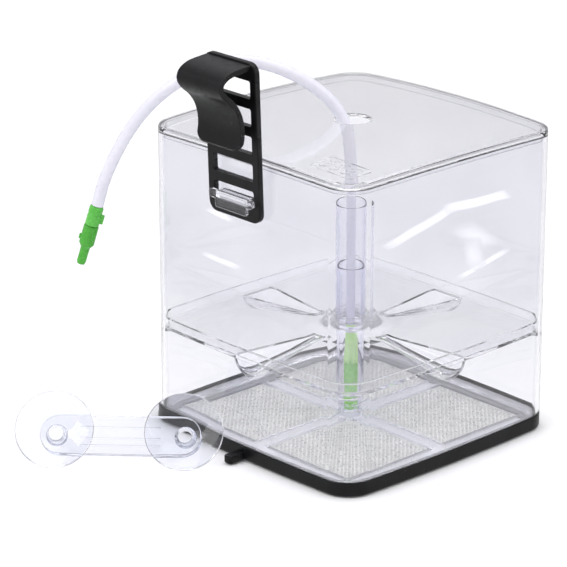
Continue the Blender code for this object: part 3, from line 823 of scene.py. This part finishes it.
def make_connector(collar_finish, body_finish):
    """Two-piece air fitting on the free end of the hose, in line with it."""
    end = hose_point(*HOSE_ROUTE[-1])
    axis = (end - hose_point(*HOSE_ROUTE[-2])).normalized()
    across = hose_point(1.0, 0.0).normalized()
    side = (across - axis * across.dot(axis)).normalized()
    place = Matrix.Translation(end) @ Matrix((side, axis.cross(side), axis)).transposed().to_4x4()
    corners = [(CONNECTOR_BORE, GAP, 0.0), (3.1, GAP, 0.3), (3.5, 1.4, 0.6), (3.5, 4.0, 0.2), (3.3, 4.3, 0.1),
               (3.3, 5.0, 0.1), (3.5, 5.3, 0.2), (3.5, CONNECTOR_SPLIT - 0.4, 0.3), (3.3, CONNECTOR_SPLIT, 0.1),
               (CONNECTOR_BORE, CONNECTOR_SPLIT, 0.0)]
    collar = turned("connector_collar_piece", rounded(corners, steps=3), FITTING_STEPS)
    ear = move(cushion_block("ear", (2.4, 2.0), 0.5, 4.2, 8.8, 0.3), shift(-3.8, 0.0, 0.0))
    move(union(collar, ear), place)
    dress(collar, "lid", ["connector_collar"], collar_finish)
    start = CONNECTOR_SPLIT + GAP
    corners = [(CONNECTOR_BORE, start, 0.0), (3.7, start, 0.3), (3.8, CONNECTOR_SHOULDER - 1.0, 0.6),
               (3.0, CONNECTOR_SHOULDER + 0.2, 0.5), (2.3, CONNECTOR_SHOULDER + 1.2, 0.5),
               (2.25, CONNECTOR_LENGTH - 2.4, 0.2), (2.35, CONNECTOR_LENGTH - 1.8, 0.2),
               (1.9, CONNECTOR_LENGTH, 0.2), (CONNECTOR_BORE, CONNECTOR_LENGTH, 0.0)]
    body = turned("connector_body_piece", rounded(corners, steps=3), FITTING_STEPS)
    ear = move(cushion_block("ear", (2.4, 2.0), 0.5, 16.4, 18.8, 0.3), shift(3.4, 0.0, 0.0))
    move(union(body, ear), place)
    dress(body, "lid", ["connector_body"], body_finish)
    return [collar, body]


# ---- base

def make_base_ring(finish):
    corners = [(RING_LEDGE_HALF, 0.0, 0.4), (BOX_HALF, 0.0, 1.6), (BOX_HALF, RING_HIGH.z, 0.5),
               (BOX_HALF - RING_WALL, RING_HIGH.z, 0.4), (BOX_HALF - RING_WALL, RING_LEDGE_TOP, 0.2),
               (RING_LEDGE_HALF, RING_LEDGE_TOP, 0.3)]
    ring = ring_loft("black_base_ring", [at_height(outline(half), z) for half, z in rounded(corners, steps=5)])
    reach = -BOX_HALF - RING_LOW.y + TAB_ROOT
    tab = cushion_block("tab", (TAB_WIDTH, reach), 1.8, 0.4, 0.4 + TAB_THICKNESS, 0.7)
    union(ring, move(tab, shift(TAB_X, RING_LOW.y + reach / 2, 0.0)))
    return dress(ring, "base", ["base_ring"], finish)


def window_centres():
    """Middle of each window, on all four sides of the hub."""
    middle = (WINDOW_FAR + WINDOW_NEAR) / 2
    return {"front_left": (-middle, -middle), "front_right": (middle, -middle),
            "back_right": (middle, middle), "back_left": (-middle, middle)}


def make_mesh_frame(finish):
    """Clear floor frame: flat bars, raised beads round four windows, a bevelled flange and a hub."""
    corners = [(FRAME_HALF, FRAME_BOTTOM, 0.0), (FRAME_HALF, FRAME_RIM_TOP, 0.3),
               (FRAME_HALF - 1.0, FRAME_RIM_TOP, 0.3), (FRAME_FLAT_HALF, FRAME_TOP, 0.6),
               (FRAME_FLAT_HALF - 1.0, FRAME_TOP, 0.0)]
    rings = [at_height(outline(half), z) for half, z in rounded(corners, closed=False)]
    plate = ring_loft("clear_mesh_frame", rings, closed=False)
    size = WINDOW_FAR - WINDOW_NEAR
    for x, y in window_centres().values():
        place = shift(x, y, 0.0)
        bead = cushion_block("bead", (size + 2 * BEAD_WIDTH,) * 2, 3.0, FRAME_TOP - 1.5,
                             FRAME_TOP + BEAD_HEIGHT, 0.5)
        union(plate, move(bead, place))
        for width, low in ((size, WIRE_HEIGHT - 0.6), (size - 2 * WINDOW_LEDGE, 0.0)):
            shape = rounded_rectangle(width, width, 1.5)
            rings = [[(px, py, z) for px, py in shape] for z in (low, FRAME_TOP + 3.0)]
            cut(plate, move(ring_loft("window", rings, closed=False), place))
    bore = [(HUB_RING_BORE, FRAME_TOP), (HUB_RING_BORE, FRAME_HIGH.z)]
    cut(plate, turned("bore", bore, closed=False))
    foot = [(HUB_FOOT_RADIUS - 0.4, 0.0), (HUB_FOOT_RADIUS, 0.4), (HUB_FOOT_RADIUS, HUB_FOOT_TOP)]
    union(plate, turned("foot", foot, closed=False))
    socket = [(HUB_RING_BORE, FRAME_TOP - 0.6, 0.0), (HUB_RING_RADIUS, FRAME_TOP - 0.6, 0.0),
              (HUB_RING_RADIUS, FRAME_HIGH.z, 0.4), (HUB_RING_BORE, FRAME_HIGH.z, 0.4)]
    union(plate, turned("socket", rounded(socket)))
    return dress(plate, "base", ["mesh_frame"], finish)


def wire(points, across, faces, line):
    """Adds one wire's tube along a line that weaves in Z, with its flat ends capped."""
    start = len(points)
    for centre in line:
        for turn in full_turn(WIRE_SIDES):
            points.append(centre + (across * math.cos(turn) + UP * math.sin(turn)) * WIRE_RADIUS)
    add_skin(faces, start, len(line), WIRE_SIDES, closed=False)


def make_woven_panels(finish):
    """Plain weave of steel wire in each window."""
    size = WINDOW_FAR - WINDOW_NEAR - 2 * GAP
    pitch = size / WIRE_COUNT
    for name, (x, y) in window_centres().items():
        points = []
        faces = []
        for direction in (0, 1):
            along = Vector((1 - direction, direction, 0))
            across = Vector((direction, 1 - direction, 0))
            for index in range(WIRE_COUNT):
                offset = -size / 2 + pitch * (index + 0.5)
                line = []
                for step in range(WIRE_COUNT * WIRE_STEPS + 1):
                    distance = -size / 2 + pitch * step / WIRE_STEPS
                    swing = math.cos(math.pi * (step / WIRE_STEPS - 0.5) + math.pi * (index + direction))
                    place = Vector((x, y, WIRE_HEIGHT + WIRE_WAVE * swing)) + along * distance + across * offset
                    if math.hypot(place.x, place.y) > HUB_RING_RADIUS + GAP + WIRE_RADIUS:
                        line.append(place)
                wire(points, across, faces, line)
        panel = add_piece(f"woven_floor_{name}", points, faces)
        dress(panel, "base", [f"mesh_panel_{name}"], finish, angle=75.0)


# ---- clear tank, lid and tray

def make_tank(finish):
    """Four walls with rounded edges, a ledge for the tray in each corner, and the hanger's lug."""
    inner = BOX_HALF - WALL
    bead = ((inner, EDGE_ROUND), (inner + 0.1, 0.1), (inner + EDGE_ROUND, 0.0),
            (BOX_HALF - EDGE_ROUND, 0.0), (BOX_HALF - 0.1, 0.1), (BOX_HALF, EDGE_ROUND))
    rings = [at_height(outline(half), SHELL_BOTTOM + lift) for half, lift in bead]
    rings += [at_height(outline(half), SHELL_TOP - lift, True) for half, lift in reversed(bead)]
    shell = ring_loft("clear_tank", rings)
    corner = max(x + y for x, y in outline(inner)) / math.sqrt(2)
    top = TRAY_BOTTOM - GAP
    for turn in quarter_turns(45.0):
        ledge = cushion_block("ledge", LEDGE_SIZE, 0.8, top - LEDGE_THICKNESS, top, 0.3)
        union(shell, move(ledge, turn @ shift(corner - 1.3, 0.0, 0.0)))
    upright = Matrix.Rotation(math.radians(90), 4, "X")
    for size, radius, middle_z, front, back in LUG_PARTS:
        part = cushion_block("lug", size, radius, -back, -front, 0.3)
        union(shell, move(part, shift(HANGER_X, 0.0, middle_z) @ upright))
    return dress(shell, "tank", ["tank_shell"], finish)


def ribbon(line, width, closed=False):
    """A raised strip on the lid along a line of (x, y) points."""
    rings = []
    count = len(line)
    for index in range(count):
        after = line[(index + 1) % count] if closed else line[min(index + 1, count - 1)]
        before = line[index - 1] if closed else line[max(index - 1, 0)]
        along = Vector((after[0] - before[0], after[1] - before[1])).normalized()
        normal = Vector((-along.y, along.x)) * width / 2
        ring = []
        for sign, raise_by, share in ((-1, -BADGE_SINK, 1.0), (1, -BADGE_SINK, 1.0),
                                      (1, BADGE_RAISE, 0.7), (-1, BADGE_RAISE, 0.7)):
            x = line[index][0] + sign * normal.x * share
            y = line[index][1] + sign * normal.y * share
            ring.append((x, y, LID_TOP + dome(x, y) + raise_by))
        rings.append(ring)
    return ring_loft("ribbon", rings, closed)


def add_badge(lid):
    """A plain raised panel near the front corner: a frame round three waves."""
    centre_x, centre_y = BADGE_CENTRE
    border = [(centre_x + x, centre_y + y) for x, y in rounded_rectangle(*BADGE_SIZE, 2.0)]
    union(lid, ribbon(border, BADGE_LINE, closed=True))
    length = BADGE_SIZE[0] - 2 * BADGE_MARGIN
    for row in (-1, 0, 1):
        wave = []
        for step in range(WAVE_STEPS + 1):
            along = length * (step / WAVE_STEPS - 0.5)
            swing = WAVE_SWING * math.sin(2 * math.pi * along / WAVE_LENGTH)
            wave.append((centre_x + along, centre_y + WAVE_PITCH * row + swing))
        union(lid, ribbon(wave, BADGE_LINE))


def make_lid(finish):
    """Domed plate with a round hole, and a lip that locates it inside the walls."""
    edge = outline(BOX_HALF)
    rim = circle_like(edge, LID_HOLE_RADIUS + EDGE_ROUND)
    ceiling = LID_TOP - LID_THICKNESS
    lip_bottom = LID_UNDER - LID_LIP_DEPTH
    lip_inside = LID_LIP_HALF - LID_LIP_WALL
    top_edge = outline(BOX_HALF - LID_EDGE_ROUND)
    inset = outline(lip_inside - 0.5)
    shares = (0.08, 0.18, 0.3, 0.42, 0.54, 0.66, 0.78, 0.9)
    hole_side = ((LID_HOLE_RADIUS, ceiling + EDGE_ROUND), (LID_HOLE_RADIUS, LID_TOP - EDGE_ROUND),
                 (LID_HOLE_RADIUS + 0.1, LID_TOP - 0.1), (LID_HOLE_RADIUS + EDGE_ROUND, LID_TOP))
    outer_side = ((BOX_HALF - LID_EDGE_ROUND, LID_TOP), (BOX_HALF - 0.27, LID_TOP - 0.27),
                  (BOX_HALF, LID_TOP - LID_EDGE_ROUND), (BOX_HALF, LID_UNDER + EDGE_ROUND),
                  (BOX_HALF - EDGE_ROUND, LID_UNDER), (LID_LIP_HALF, LID_UNDER),
                  (LID_LIP_HALF, lip_bottom + 0.3), (LID_LIP_HALF - 0.3, lip_bottom),
                  (lip_inside + 0.3, lip_bottom), (lip_inside, lip_bottom + 0.3),
                  (lip_inside, ceiling - 0.5), (lip_inside - 0.5, ceiling))
    rings = [at_height(circle_like(edge, radius), z, True) for radius, z in hole_side]
    rings += [at_height(blend_outlines(rim, top_edge, share), LID_TOP, True) for share in shares]
    rings += [at_height(outline(half), z, True) for half, z in outer_side]
    rings += [at_height(blend_outlines(rim, inset, share), ceiling, True) for share in reversed(shares)]
    rings.append(at_height(rim, ceiling, True))
    lid = ring_loft("clear_lid", rings)
    add_badge(lid)
    return dress(lid, "lid", ["lid"], finish)


def trough(start, end, skin, top):
    """A trough solid along +X that widens and deepens from near the centre to the wall."""
    rings = []
    straight = [(share, 1.0) for share in (0.0, 0.15, 0.3, 0.45, 0.6, 0.75, 0.88)]
    for share, taper in (*straight, (0.94, 0.985), (0.98, 0.93), (1.0, 0.86)):
        distance = start + (end - start) * share
        half_width = (TROUGH_HALF[0] + TROUGH_HALF[1] * share + skin) * taper
        depth = (TROUGH_DEPTH[0] + TROUGH_DEPTH[1] * share + skin) * taper
        ring = []
        for step in range(TROUGH_STEPS + 1):
            turn = math.pi + math.pi * step / TROUGH_STEPS
            ring.append((distance, half_width * math.cos(turn), TRAY_BOTTOM + 0.9 + depth * math.sin(turn)))
        ring.append((distance, half_width, top))
        ring.append((distance, -half_width, top))
        rings.append(ring)
    return ring_loft("trough", rings, closed=False)


def make_tray(finish):
    """Square tray with a collar for the chimney, and four troughs with slots that lead eggs and fry down."""
    rim = outline(TRAY_HALF)
    inner = TRAY_HALF - TRAY_WALL
    # (radius, z) over the collar and down its slope, (half width, z) round the wall, (radius, z) underneath.
    collar = ((TRAY_BORE, 53.7), (TRAY_BORE, 55.8), (TRAY_SEAT_RADIUS, 56.0),
              (TRAY_SEAT_RADIUS, TRAY_HIGH.z - 0.3), (TRAY_SEAT_RADIUS + 0.3, TRAY_HIGH.z),
              (TRAY_COLLAR_RADIUS - 0.4, TRAY_HIGH.z), (TRAY_COLLAR_RADIUS, TRAY_HIGH.z - 0.4),
              (TRAY_COLLAR_RADIUS, 58.0), (12.5, 56.9), (13.4, 56.0), (15.4, 54.8), (18.0, 53.7), (21.5, 52.8),
              (TRAY_SLOPE_END, TRAY_FLOOR))
    wall = ((inner - 0.6, TRAY_FLOOR), (inner, TRAY_FLOOR + 0.6), (inner, TRAY_TOP - 0.4),
            (inner + 0.4, TRAY_TOP), (TRAY_HALF - 0.4, TRAY_TOP), (TRAY_HALF, TRAY_TOP - 0.4),
            (TRAY_HALF, TRAY_BOTTOM + 0.5), (TRAY_HALF - 0.5, TRAY_BOTTOM))
    underside = ((TRAY_SLOPE_END, TRAY_BOTTOM), (22.0, 51.2), (19.0, 51.8), (15.5, 52.7), (13.0, 53.4),
                 (TRAY_BORE + 0.3, 53.4))
    rings = [at_height(circle_like(rim, radius), z) for radius, z in collar]
    floor = blend_outlines(circle_like(rim, TRAY_SLOPE_END), outline(inner - 0.6), 0.5)
    rings.append(at_height(floor, TRAY_FLOOR))
    rings += [at_height(outline(half), z) for half, z in wall]
    rings += [at_height(circle_like(rim, radius), z) for radius, z in underside]
    tray = ring_loft("clear_hopper_tray", rings)
    outside = (TROUGH_START - 1.0, TROUGH_END + TROUGH_SKIN, TROUGH_SKIN, TRAY_FLOOR - 0.5)
    inside = (TROUGH_START, TROUGH_END, 0.0, TRAY_FLOOR + 4.0)
    for change, sizes in ((union, outside), (cut, inside)):
        for turn in quarter_turns():
            change(tray, move(trough(*sizes), turn))
    for turn in quarter_turns():
        shape = cushion_block("slot", (SLOT_END - SLOT_START, SLOT_WIDTH), 0.95, 38.0, 53.0, 0.1)
        cut(tray, move(shape, turn @ shift((SLOT_END + SLOT_START) / 2, 0.0, 0.0)))
    return dress(tray, "tray", ["hopper_tray"], finish)


def make_chimney(finish):
    corners = [(CHIMNEY_BORE, CHIMNEY_LOW.z, 0.2), (CHIMNEY_RADIUS, CHIMNEY_LOW.z, 0.3),
               (CHIMNEY_RADIUS, CHIMNEY_HIGH.z, 0.4), (CHIMNEY_BORE, CHIMNEY_HIGH.z, 0.3)]
    tube = turned("clear_chimney", rounded(corners))
    return dress(tube, "tray", ["chimney_tube"], finish)


def make_riser(finish):
    low = RISER_LOW.z
    high = RISER_HIGH.z
    corners = [(5.2, low, 0.2), (6.2, low, 0.3), (6.2, 9.3, 1.2), (8.2, 11.6, 1.5), (RISER_RADIUS, 16.5, 2.0),
               (RISER_RADIUS, high, 0.5), (RISER_BORE, high, 0.5), (RISER_BORE, 16.4, 2.0), (6.9, 12.6, 1.0),
               (5.2, 10.2, 1.0)]
    riser = turned("clear_riser", rounded(corners))
    for turn in quarter_turns(45.0):
        side = rounded([(RISER_RADIUS - 1.0, 17.0, 0.0), (FIN_REACH, 11.0, 1.0), (FIN_REACH, 34.0, 2.0),
                        (RISER_RADIUS - 0.2, FIN_TOP, 0.5), (RISER_RADIUS - 1.0, FIN_TOP, 0.0)])
        half = FIN_THICKNESS / 2
        fin = ring_loft("fin", [[(x, y, z) for x, z in side] for y in (-half, half)], closed=False)
        union(riser, move(fin, turn))
        notch = cushion_block("notch", (5.0, 2.8), 0.4, low - 1.0, low + 1.9, 0.1)
        cut(riser, move(notch, turn @ shift(5.5, 0.0, 0.0)))
    return dress(riser, "riser", ["riser_pipe"], finish)


# ---- hanger and suction bracket

def shortened(line, trim):
    """The same number of points on an evenly spaced line that ends a given length sooner."""
    spans = len(line) - 1
    length = sum((second - first).length for first, second in zip(line, line[1:]))
    result = []
    for index in range(spans + 1):
        place = index * (1 - trim / length)
        whole = min(int(place), spans - 1)
        result.append(line[whole].lerp(line[whole + 1], place - whole))
    return result


def hook_section(line, x, thickness):
    """Outline of the hook strip at one x, along a line of (y, z) vectors, with a rounded end."""
    outer = []
    inner = []
    for index, point in enumerate(line):
        along = run_of(line, index)
        normal = Vector((0.0, -along.z, along.y)) * thickness / 2
        outer.append(point + normal)
        inner.append(point - normal)
    tip = line[-1] + (line[-1] - line[-2]).normalized() * thickness * 0.3
    return [(x, point.y, point.z) for point in (*outer, tip, *inner[::-1])]


def make_hook():
    lean = math.tan(math.radians(LADDER_LEAN))
    line = smooth_curve([Vector((0.0, y + (z - LUG_Z) * lean, z)) for y, z in HOOK_ROUTE], 0.9)
    half = HOOK_WIDTH / 2
    steps = 10
    rings = []
    for sign in (-1, 1):
        for step in range(steps, -1, -1) if sign < 0 else range(steps + 1):
            turn = math.radians(90.0 * step / steps)
            x = sign * (half - LIP_CORNER * (1 - math.sin(turn)))
            trim = LIP_CORNER * (1 - math.cos(turn)) + 0.6
            thin = HOOK_THICKNESS - (0.7 if step == steps else 0.2 if step == steps - 1 else 0.0)
            rings.append(hook_section(shortened(line, trim), HANGER_X + x, thin))
    return ring_loft("hook", rings, closed=False)


def make_hanger(finish):
    """Ladder and spring hook in one moulding, leaning out about the lug."""
    middle = (LADDER_TOP + LADDER_BOTTOM) / 2
    ladder = cushion_block("black_hanger", (LADDER_WIDTH, LADDER_TOP - LADDER_BOTTOM), LADDER_CORNER,
                           -LADDER_BACK_Y, -LADDER_BACK_Y + LADDER_THICKNESS, 0.5)
    upright = shift(HANGER_X, 0.0, middle) @ Matrix.Rotation(math.radians(90), 4, "X")
    move(ladder, upright)
    opening = rounded_rectangle(WINDOW_WIDTH, WINDOW_HEIGHT, 1.0, 4)
    for index in range(WINDOW_COUNT):
        centre = LOWEST_WINDOW_BOTTOM + WINDOW_HEIGHT / 2 + RUNG_PITCH * index
        rings = [[(HANGER_X + x, y, centre + z) for x, z in opening] for y in (-70.0, -80.0)]
        cut(ladder, ring_loft("window", rings, closed=False))
    union(ladder, make_hook())
    pivot = shift(0.0, LADDER_BACK_Y, LUG_Z)
    turn = Matrix.Rotation(math.radians(LADDER_LEAN), 4, "X")
    move(ladder, pivot @ turn @ pivot.inverted())
    return dress(ladder, "hanger", ["hanger"], finish, edge=0.35)


def cup_placement(name):
    """Placement with Z along the cup's axis and X along the bar, at the centre of a cup's rim."""
    axis = Vector(joint(name)["axis"]).normalized()
    bar = -Vector(joint("bracket_slide")["axis"]).normalized()
    return Matrix.Translation(Vector(joint(name)["pos_m"]) / MM) @ \
        Matrix((bar, axis.cross(bar), axis)).transposed().to_4x4()


def make_bracket(finish):
    half = BAR_LENGTH / 2
    size = (BAR_LENGTH, BAR_HEIGHT)
    bar = cushion_block("clear_suction_bar", size, BAR_HEIGHT / 2 - 0.05, BAR_BACK, BAR_FRONT, 0.7)
    for side in (-1, 1):
        eye = turned("eye", [(BAR_EYE, BAR_BACK - 1.0), (BAR_EYE, BAR_FRONT + 1.0)], 40, closed=False)
        cut(bar, move(eye, shift(side * CUP_SPACING / 2, 0.0, 0.0)))
    for level in (-5.6, -2.0, 3.4):
        groove = cushion_block("groove", (half, 1.0), 0.45, BAR_FRONT - 0.5, BAR_FRONT + 1.0, 0.2)
        cut(bar, move(groove, shift(0.0, level, 0.0)))
    right = cup_placement("cup_right_spin")
    left = cup_placement("cup_left_spin")
    right.translation = (right.translation + left.translation) / 2
    return dress(move(bar, right), "bracket", ["suction_bracket"], finish, edge=0.15)


def make_cup(side, finish):
    """Soft clear cup: thin flared rim, shallow bowl, neck through the bar and a button head."""
    corners = [(0.4, -5.2, 0.0), (6.0, -4.9, 8.0), (12.0, -3.6, 8.0), (16.5, -1.6, 6.0),
               (CUP_RADIUS - 0.5, 0.0, 0.2), (CUP_RADIUS, -0.5, 0.2), (17.4, -2.2, 3.0), (13.2, -4.9, 4.0),
               (8.0, -6.9, 3.0), (NECK_RADIUS, -8.0, 0.6), (NECK_RADIUS, -13.6, 0.2), (5.2, -14.0, 0.4),
               (5.2, -15.2, 0.6), (3.6, -16.4, 0.8), (0.4, -16.5, 0.0)]
    cup = turned(f"clear_cup_{side}", rounded(corners, closed=False, steps=6), closed=False)
    return dress(move(cup, cup_placement(f"cup_{side}_spin")), f"cup_{side}", [f"suction_cup_{side}"],
                 finish)


def make_air_set():
    """Hose, nozzle and connector."""
    hose, path = make_hose(milky_material())
    nozzle = make_nozzle(green_material("nozzle_green_finish", (0.24, 0.66, 0.09), (0.30, 0.74, 0.13), 0.0),
                         green_material("lime_finish", (0.52, 0.88, 0.26), (0.60, 0.94, 0.34), 0.0))
    connector = make_connector(
        green_material("collar_green_finish", (0.10, 0.50, 0.06), (0.15, 0.60, 0.10), 0.05),
        green_material("body_green_finish", (0.06, 0.38, 0.03), (0.09, 0.46, 0.05), 0.05))


def main():
    make_camera()
    make_air_set()
    black = black_material()
    make_base_ring(black)
    make_mesh_frame(clear_material("frame_clear_finish", (0.88, 0.88, 0.93), (0.94, 0.94, 0.97), 1.50, 0.03,
                                   clearness=0.86))
    make_woven_panels(steel_material())
    # The tank's walls get painted floor light: nearly clear below 1 cm, full tint above 8.5 cm.
    make_tank(clear_material("tank_clear_finish", (0.815, 0.815, 0.85), (0.865, 0.865, 0.895), 1.49, 0.03,
                             painted_light_heights=(0.01, 0.085)))
    make_lid(clear_material("lid_clear_finish", (0.945, 0.945, 0.96), (0.97, 0.97, 0.98), 1.50, 0.03))
    make_tray(clear_material("tray_clear_finish", (0.985, 0.985, 1.0), (1.0, 1.0, 1.0), 1.36, 0.02))
    tube = clear_material("tube_clear_finish", (0.965, 0.965, 0.99), (0.985, 0.985, 1.0), 1.45, 0.015,
                          edge=(0.70, 0.70, 0.87))
    make_chimney(tube)
    make_riser(tube)
    make_hanger(black)
    vinyl = clear_material("vinyl_finish", (0.91, 0.92, 0.96), (0.96, 0.96, 0.985), 1.46, 0.05, (0.01, 0.06),
                           edge=(0.50, 0.52, 0.67))
    make_bracket(vinyl)
    make_cup("right", vinyl)
    make_cup("left", vinyl)
    make_studio()


main()
